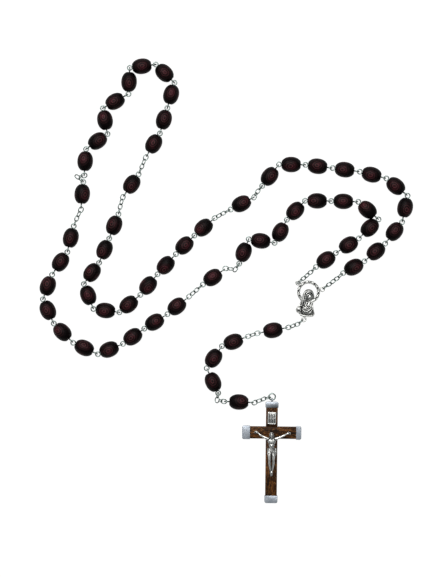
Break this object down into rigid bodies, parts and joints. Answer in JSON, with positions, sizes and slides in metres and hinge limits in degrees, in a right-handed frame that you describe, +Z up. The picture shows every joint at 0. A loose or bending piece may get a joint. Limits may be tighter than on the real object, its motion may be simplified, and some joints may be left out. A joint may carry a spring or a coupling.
{
  "type": "rosary",
  "caption": "Rosary laid flat: oval dark wood beads on silver wire pins with chain, a halo centre medal and a wood crucifix with metal end caps.",
  "frame": {"origin": "middle of the laid-out rosary's bounding box, on the surface it lies on", "axes": "+Z up from the surface, +Y from the crucifix towards the far loop, +X towards the loop beside the medal"},
  "size_m": [0.1866, 0.2224, 0.0078],
  "materials": {
    "bead_wood": "dark red-brown turned wood with growth rings, waxed semi-gloss",
    "cross_wood": "mid-brown wood with fine straight grain, satin",
    "bright_silver": "bright silver-plated wire",
    "satin_silver": "satin silver sheet",
    "aged_silver": "cast silver tone, darkened in the recesses"
  },
  "bodies": {
    "medal": {"medal": "aged_silver"},
    "chain_medal_right": {"chain_medal_right": "bright_silver"},
    "decade_5_beads_1_2": {"decade_5_beads_1_2": "bead_wood"},
    "decade_5_beads_3_4": {"decade_5_beads_3_4": "bead_wood"},
    "decade_5_beads_5_6": {"decade_5_beads_5_6": "bead_wood"},
    "decade_5_beads_7_8": {"decade_5_beads_7_8": "bead_wood"},
    "decade_5_beads_9_10": {"decade_5_beads_9_10": "bead_wood"},
    "chain_pater_4_near": {"chain_pater_4_near": "bright_silver"},
    "pater_4": {"pater_4": "bead_wood"},
    "chain_pater_4_far": {"chain_pater_4_far": "bright_silver"},
    "decade_4_beads_1_2": {"decade_4_beads_1_2": "bead_wood"},
    "decade_4_beads_3_4": {"decade_4_beads_3_4": "bead_wood"},
    "decade_4_beads_5_6": {"decade_4_beads_5_6": "bead_wood"},
    "decade_4_beads_7_8": {"decade_4_beads_7_8": "bead_wood"},
    "decade_4_beads_9_10": {"decade_4_beads_9_10": "bead_wood"},
    "chain_pater_3_near": {"chain_pater_3_near": "bright_silver"},
    "pater_3": {"pater_3": "bead_wood"},
    "chain_pater_3_far": {"chain_pater_3_far": "bright_silver"},
    "decade_3_beads_9_10": {"decade_3_beads_9_10": "bead_wood"},
    "decade_3_beads_7_8": {"decade_3_beads_7_8": "bead_wood"},
    "decade_3_beads_5_6": {"decade_3_beads_5_6": "bead_wood"},
    "chain_medal_left": {"chain_medal_left": "bright_silver"},
    "decade_1_beads_1_2": {"decade_1_beads_1_2": "bead_wood"},
    "decade_1_beads_3_4": {"decade_1_beads_3_4": "bead_wood"},
    "decade_1_beads_5_6": {"decade_1_beads_5_6": "bead_wood"},
    "decade_1_beads_7_8": {"decade_1_beads_7_8": "bead_wood"},
    "decade_1_beads_9_10": {"decade_1_beads_9_10": "bead_wood"},
    "chain_pater_1_near": {"chain_pater_1_near": "bright_silver"},
    "pater_1": {"pater_1": "bead_wood"},
    "chain_pater_1_far": {"chain_pater_1_far": "bright_silver"},
    "decade_2_beads_1_2": {"decade_2_beads_1_2": "bead_wood"},
    "decade_2_beads_3_4": {"decade_2_beads_3_4": "bead_wood"},
    "decade_2_beads_5_6": {"decade_2_beads_5_6": "bead_wood"},
    "decade_2_beads_7_8": {"decade_2_beads_7_8": "bead_wood"},
    "decade_2_beads_9_10": {"decade_2_beads_9_10": "bead_wood"},
    "chain_pater_2_near": {"chain_pater_2_near": "bright_silver"},
    "pater_2": {"pater_2": "bead_wood"},
    "chain_pater_2_far": {"chain_pater_2_far": "bright_silver"},
    "decade_3_beads_1_2": {"decade_3_beads_1_2": "bead_wood"},
    "decade_3_beads_3_4": {"decade_3_beads_3_4": "bead_wood"},
    "chain_medal_bottom": {"chain_medal_bottom": "bright_silver"},
    "pater_5": {"pater_5": "bead_wood"},
    "chain_pater_5": {"chain_pater_5": "bright_silver"},
    "pendant_ave_1": {"pendant_ave_1": "bead_wood"},
    "pendant_ave_2": {"pendant_ave_2": "bead_wood"},
    "pendant_ave_3": {"pendant_ave_3": "bead_wood"},
    "chain_pater_6": {"chain_pater_6": "bright_silver"},
    "pater_6": {"pater_6": "bead_wood"},
    "chain_crucifix": {"chain_crucifix": "bright_silver"},
    "crucifix_ring": {"crucifix_ring": "bright_silver"},
    "crucifix": {"crucifix_wood": "cross_wood", "cap_top": "satin_silver", "cap_bottom": "satin_silver", "cap_left": "satin_silver", "cap_right": "satin_silver", "title_plate": "aged_silver", "corpus": "aged_silver"}
  },
  "joints": [
    {"name": "chain_medal_right_swing", "type": "hinge", "parent": "medal", "child": "chain_medal_right", "pos_m": [0.04898, -0.00356, 0.0018], "axis": [0.576, -0.8175, 0], "range_deg": [-75, 75]},
    {"name": "decade_5_beads_1_2_swing", "type": "hinge", "parent": "chain_medal_right", "child": "decade_5_beads_1_2", "pos_m": [0.05761, 0.00314, 0.00373], "axis": [-0.6639, 0.7478, 0], "range_deg": [-75, 75]},
    {"name": "decade_5_beads_3_4_swing", "type": "hinge", "parent": "decade_5_beads_1_2", "child": "decade_5_beads_3_4", "pos_m": [0.08023, 0.01958, 0.0039], "axis": [0.7858, -0.6185, 0], "range_deg": [-75, 75]},
    {"name": "decade_5_beads_5_6_swing", "type": "hinge", "parent": "decade_5_beads_3_4", "child": "decade_5_beads_5_6", "pos_m": [0.08982, 0.04333, 0.0039], "axis": [-0.6325, -0.7745, 0], "range_deg": [-75, 75]},
    {"name": "decade_5_beads_7_8_swing", "type": "hinge", "parent": "decade_5_beads_5_6", "child": "decade_5_beads_7_8", "pos_m": [0.06567, 0.05476, 0.0039], "axis": [0.1321, 0.9912, 0], "range_deg": [-75, 75]},
    {"name": "decade_5_beads_9_10_swing", "type": "hinge", "parent": "decade_5_beads_7_8", "child": "decade_5_beads_9_10", "pos_m": [0.03851, 0.05806, 0.0039], "axis": [-0.017, -0.9999, 0], "range_deg": [-75, 75]},
    {"name": "chain_pater_4_near_swing", "type": "hinge", "parent": "decade_5_beads_9_10", "child": "chain_pater_4_near", "pos_m": [0.01726, 0.04657, 0.0039], "axis": [-0.7756, 0.6312, 0], "range_deg": [-75, 75]},
    {"name": "pater_4_swing", "type": "hinge", "parent": "chain_pater_4_near", "child": "pater_4", "pos_m": [0.01272, 0.04121, 0.0039], "axis": [0.4643, -0.8857, 0], "range_deg": [-75, 75]},
    {"name": "chain_pater_4_far_swing", "type": "hinge", "parent": "pater_4", "child": "chain_pater_4_far", "pos_m": [0.0012, 0.03518, 0.0039], "axis": [-0.457, 0.8894, 0], "range_deg": [-75, 75]},
    {"name": "decade_4_beads_1_2_swing", "type": "hinge", "parent": "chain_pater_4_far", "child": "decade_4_beads_1_2", "pos_m": [-0.00674, 0.03055, 0.0039], "axis": [0.6526, -0.7577, 0], "range_deg": [-75, 75]},
    {"name": "decade_4_beads_3_4_swing", "type": "hinge", "parent": "decade_4_beads_1_2", "child": "decade_4_beads_3_4", "pos_m": [-0.02594, 0.01254, 0.0039], "axis": [-0.7394, 0.6733, 0], "range_deg": [-75, 75]},
    {"name": "decade_4_beads_5_6_swing", "type": "hinge", "parent": "decade_4_beads_3_4", "child": "decade_4_beads_5_6", "pos_m": [-0.04382, -0.00771, 0.0039], "axis": [0.6411, -0.7675, 0], "range_deg": [-75, 75]},
    {"name": "decade_4_beads_7_8_swing", "type": "hinge", "parent": "decade_4_beads_5_6", "child": "decade_4_beads_7_8", "pos_m": [-0.06678, -0.01293, 0.0039], "axis": [0.9336, 0.3582, 0], "range_deg": [-75, 75]},
    {"name": "decade_4_beads_9_10_swing", "type": "hinge", "parent": "decade_4_beads_7_8", "child": "decade_4_beads_9_10", "pos_m": [-0.06305, 0.01018, 0.0039], "axis": [-0.923, 0.3848, 0], "range_deg": [-75, 75]},
    {"name": "chain_pater_3_near_swing", "type": "hinge", "parent": "decade_4_beads_9_10", "child": "chain_pater_3_near", "pos_m": [-0.05358, 0.03458, 0.0039], "axis": [0.9745, -0.2246, 0], "range_deg": [-75, 75]},
    {"name": "pater_3_swing", "type": "hinge", "parent": "chain_pater_3_near", "child": "pater_3", "pos_m": [-0.05088, 0.04295, 0.0039], "axis": [-0.8257, 0.5641, 0], "range_deg": [-75, 75]},
    {"name": "chain_pater_3_far_swing", "type": "hinge", "parent": "pater_3", "child": "chain_pater_3_far", "pos_m": [-0.04332, 0.05442, 0.0039], "axis": [0.9194, -0.3932, 0], "range_deg": [-75, 75]},
    {"name": "decade_3_beads_9_10_swing", "type": "hinge", "parent": "chain_pater_3_far", "child": "decade_3_beads_9_10", "pos_m": [-0.0395, 0.0629, 0.0039], "axis": [-0.8625, 0.5061, 0], "range_deg": [-75, 75]},
    {"name": "decade_3_beads_7_8_swing", "type": "hinge", "parent": "decade_3_beads_9_10", "child": "decade_3_beads_7_8", "pos_m": [-0.02909, 0.08754, 0.0039], "axis": [0.9625, -0.2714, 0], "range_deg": [-75, 75]},
    {"name": "decade_3_beads_5_6_swing", "type": "hinge", "parent": "decade_3_beads_7_8", "child": "decade_3_beads_5_6", "pos_m": [-0.03635, 0.10805, 0.0039], "axis": [0.1277, -0.9918, 0], "range_deg": [-75, 75]},
    {"name": "chain_medal_left_swing", "type": "hinge", "parent": "medal", "child": "chain_medal_left", "pos_m": [0.03686, -0.00024, 0.00184], "axis": [0.6315, -0.7754, 0], "range_deg": [-75, 75]},
    {"name": "decade_1_beads_1_2_swing", "type": "hinge", "parent": "chain_medal_left", "child": "decade_1_beads_1_2", "pos_m": [0.0441, 0.00617, 0.00372], "axis": [-0.7097, 0.7045, 0], "range_deg": [-75, 75]},
    {"name": "decade_1_beads_3_4_swing", "type": "hinge", "parent": "decade_1_beads_1_2", "child": "decade_1_beads_3_4", "pos_m": [0.06714, 0.02206, 0.0039], "axis": [0.6927, -0.7212, 0], "range_deg": [-75, 75]},
    {"name": "decade_1_beads_5_6_swing", "type": "hinge", "parent": "decade_1_beads_3_4", "child": "decade_1_beads_5_6", "pos_m": [0.06491, 0.03958, 0.0039], "axis": [-0.0295, -0.9996, 0], "range_deg": [-75, 75]},
    {"name": "decade_1_beads_7_8_swing", "type": "hinge", "parent": "decade_1_beads_5_6", "child": "decade_1_beads_7_8", "pos_m": [0.03862, 0.03921, 0.0039], "axis": [-0.7203, 0.6937, 0], "range_deg": [-75, 75]},
    {"name": "decade_1_beads_9_10_swing", "type": "hinge", "parent": "decade_1_beads_7_8", "child": "decade_1_beads_9_10", "pos_m": [0.02308, 0.0192, 0.0039], "axis": [-0.1422, -0.9898, 0], "range_deg": [-75, 75]},
    {"name": "chain_pater_1_near_swing", "type": "hinge", "parent": "decade_1_beads_9_10", "child": "chain_pater_1_near", "pos_m": [0.0059, 0.0077, 0.0039], "axis": [-0.8291, 0.5591, 0], "range_deg": [-75, 75]},
    {"name": "pater_1_swing", "type": "hinge", "parent": "chain_pater_1_near", "child": "pater_1", "pos_m": [-0.00136, 0.00541, 0.0039], "axis": [0.5747, -0.8184, 0], "range_deg": [-75, 75]},
    {"name": "chain_pater_1_far_swing", "type": "hinge", "parent": "pater_1", "child": "chain_pater_1_far", "pos_m": [-0.01254, -0.00259, 0.0039], "axis": [-0.6598, 0.7514, 0], "range_deg": [-75, 75]},
    {"name": "decade_2_beads_1_2_swing", "type": "hinge", "parent": "chain_pater_1_far", "child": "decade_2_beads_1_2", "pos_m": [-0.0196, -0.00866, 0.0039], "axis": [0.6315, -0.7754, 0], "range_deg": [-75, 75]},
    {"name": "decade_2_beads_3_4_swing", "type": "hinge", "parent": "decade_2_beads_1_2", "child": "decade_2_beads_3_4", "pos_m": [-0.04187, -0.02454, 0.0039], "axis": [-0.5791, 0.8153, 0], "range_deg": [-75, 75]},
    {"name": "decade_2_beads_5_6_swing", "type": "hinge", "parent": "decade_2_beads_3_4", "child": "decade_2_beads_5_6", "pos_m": [-0.06518, -0.03616, 0.0039], "axis": [-0.4215, -0.9068, 0], "range_deg": [-75, 75]},
    {"name": "decade_2_beads_7_8_swing", "type": "hinge", "parent": "decade_2_beads_5_6", "child": "decade_2_beads_7_8", "pos_m": [-0.08666, -0.02022, 0.0039], "axis": [0.9127, 0.4086, 0], "range_deg": [-75, 75]},
    {"name": "decade_2_beads_9_10_swing", "type": "hinge", "parent": "decade_2_beads_7_8", "child": "decade_2_beads_9_10", "pos_m": [-0.08636, 0.00412, 0.0039], "axis": [-0.8298, 0.5581, 0], "range_deg": [-75, 75]},
    {"name": "chain_pater_2_near_swing", "type": "hinge", "parent": "decade_2_beads_9_10", "child": "chain_pater_2_near", "pos_m": [-0.07577, 0.02853, 0.0039], "axis": [0.9265, -0.3763, 0], "range_deg": [-75, 75]},
    {"name": "pater_2_swing", "type": "hinge", "parent": "chain_pater_2_near", "child": "pater_2", "pos_m": [-0.07251, 0.03695, 0.0039], "axis": [-0.9962, 0.0865, 0], "range_deg": [-75, 75]},
    {"name": "chain_pater_2_far_swing", "type": "hinge", "parent": "pater_2", "child": "chain_pater_2_far", "pos_m": [-0.07232, 0.05024, 0.0039], "axis": [0.6465, 0.7629, 0], "range_deg": [-75, 75]},
    {"name": "decade_3_beads_1_2_swing", "type": "hinge", "parent": "chain_pater_2_far", "child": "decade_3_beads_1_2", "pos_m": [-0.07089, 0.05411, 0.0039], "axis": [-0.9975, 0.0708, 0], "range_deg": [-75, 75]},
    {"name": "decade_3_beads_3_4_swing", "type": "hinge", "parent": "decade_3_beads_1_2", "child": "decade_3_beads_3_4", "pos_m": [-0.05954, 0.07459, 0.0039], "axis": [0.9842, 0.1772, 0], "range_deg": [-75, 75]},
    {"name": "chain_medal_bottom_swing", "type": "hinge", "parent": "medal", "child": "chain_medal_bottom", "pos_m": [0.03807, -0.0199, 0.0019], "axis": [0.5972, -0.8021, 0], "range_deg": [-75, 75]},
    {"name": "pater_5_swing", "type": "hinge", "parent": "chain_medal_bottom", "child": "pater_5", "pos_m": [0.02977, -0.0235, 0.0039], "axis": [-0.1868, 0.9824, 0], "range_deg": [-75, 75]},
    {"name": "chain_pater_5_swing", "type": "hinge", "parent": "pater_5", "child": "chain_pater_5", "pos_m": [0.017, -0.02593, 0.0039], "axis": [0.1868, -0.9824, 0], "range_deg": [-75, 75]},
    {"name": "pendant_ave_1_swing", "type": "hinge", "parent": "chain_pater_5", "child": "pendant_ave_1", "pos_m": [0.00971, -0.02816, 0.0039], "axis": [-0.351, 0.9364, 0], "range_deg": [-75, 75]},
    {"name": "pendant_ave_2_swing", "type": "hinge", "parent": "pendant_ave_1", "child": "pendant_ave_2", "pos_m": [-0.00274, -0.03354, 0.0039], "axis": [0.8231, -0.5679, 0], "range_deg": [-75, 75]},
    {"name": "pendant_ave_3_swing", "type": "hinge", "parent": "pendant_ave_2", "child": "pendant_ave_3", "pos_m": [-0.00922, -0.04473, 0.0039], "axis": [-0.9082, -0.4186, 0], "range_deg": [-75, 75]},
    {"name": "chain_pater_6_swing", "type": "hinge", "parent": "pendant_ave_3", "child": "chain_pater_6", "pos_m": [-0.00417, -0.05724, 0.0039], "axis": [0.9889, -0.1484, 0], "range_deg": [-75, 75]},
    {"name": "pater_6_swing", "type": "hinge", "parent": "chain_pater_6", "child": "pater_6", "pos_m": [0.00025, -0.06031, 0.0039], "axis": [-0.0384, -0.9993, 0], "range_deg": [-75, 75]},
    {"name": "chain_crucifix_swing", "type": "hinge", "parent": "pater_6", "child": "chain_crucifix", "pos_m": [0.01285, -0.0608, 0.0039], "axis": [0.0384, 0.9993, 0], "range_deg": [-75, 75]},
    {"name": "crucifix_ring_swing", "type": "hinge", "parent": "chain_crucifix", "child": "crucifix_ring", "pos_m": [0.02152, -0.0584, 0.00228], "axis": [0.2336, -0.9723, 0], "range_deg": [-75, 75]},
    {"name": "crucifix_swing", "type": "hinge", "parent": "crucifix_ring", "child": "crucifix", "pos_m": [0.02301, -0.05964, 0.0019], "axis": [0.9999, -0.0122, 0], "range_deg": [-40, 75]}
  ]
}
